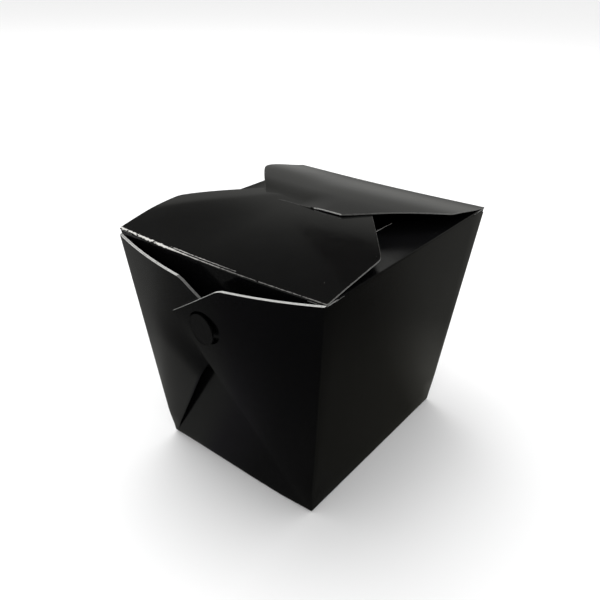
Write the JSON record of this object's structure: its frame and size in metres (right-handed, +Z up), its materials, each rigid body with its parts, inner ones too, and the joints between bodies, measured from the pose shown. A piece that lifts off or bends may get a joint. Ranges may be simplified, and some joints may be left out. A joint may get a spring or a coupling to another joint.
{
  "type": "noodle takeaway box",
  "caption": "Tapered black paperboard food carton with gusseted ends, a round lock tab and hinged lid and dust flaps, closed.",
  "frame": {"origin": "middle of the underside, on the surface that the box stands on", "axes": "+Z up; +Y from the front gusset end to the back one, along the longer side; +X towards the plain side at the right"},
  "size_m": [0.0822, 0.111, 0.0902],
  "materials": {
    "carton_board": "black paperboard with a satin film and a white core at its cut edges",
    "lid_board": "black paperboard with a glossy film, white core showing at cut edges and along the cracked lid crease",
    "dust_board": "black paperboard with a satin film and a white core at its cut edges"
  },
  "bodies": {
    "box": {"carton": "carton_board"},
    "back_lid": {"lid_flap_back": "lid_board"},
    "front_lid": {"lid_flap_front": "lid_board"},
    "right_dust_flap": {"dust_flap_right": "dust_board"},
    "left_dust_flap": {"dust_flap_left": "dust_board"}
  },
  "joints": [
    {"name": "back_lid_crease", "type": "hinge", "parent": "box", "child": "back_lid", "pos_m": [0, 0.0482, 0.08328], "axis": [-1, 0, 0], "range_deg": [0, 125]},
    {"name": "front_lid_crease", "type": "hinge", "parent": "box", "child": "front_lid", "pos_m": [0, -0.0482, 0.08328], "axis": [1, 0, 0], "range_deg": [0, 77.5]},
    {"name": "right_dust_crease", "type": "hinge", "parent": "box", "child": "right_dust_flap", "pos_m": [0.041, 0, 0.08328], "axis": [0, 1, 0], "range_deg": [0, 75]},
    {"name": "left_dust_crease", "type": "hinge", "parent": "box", "child": "left_dust_flap", "pos_m": [-0.041, 0, 0.08328], "axis": [0, -1, 0], "range_deg": [0, 75]}
  ],
  "couplings": [
    {"joint": "front_lid_crease", "follows": "back_lid_crease", "ratio": 0.62},
    {"joint": "right_dust_crease", "follows": "back_lid_crease", "ratio": 0.6},
    {"joint": "left_dust_crease", "follows": "back_lid_crease", "ratio": 0.6}
  ]
}
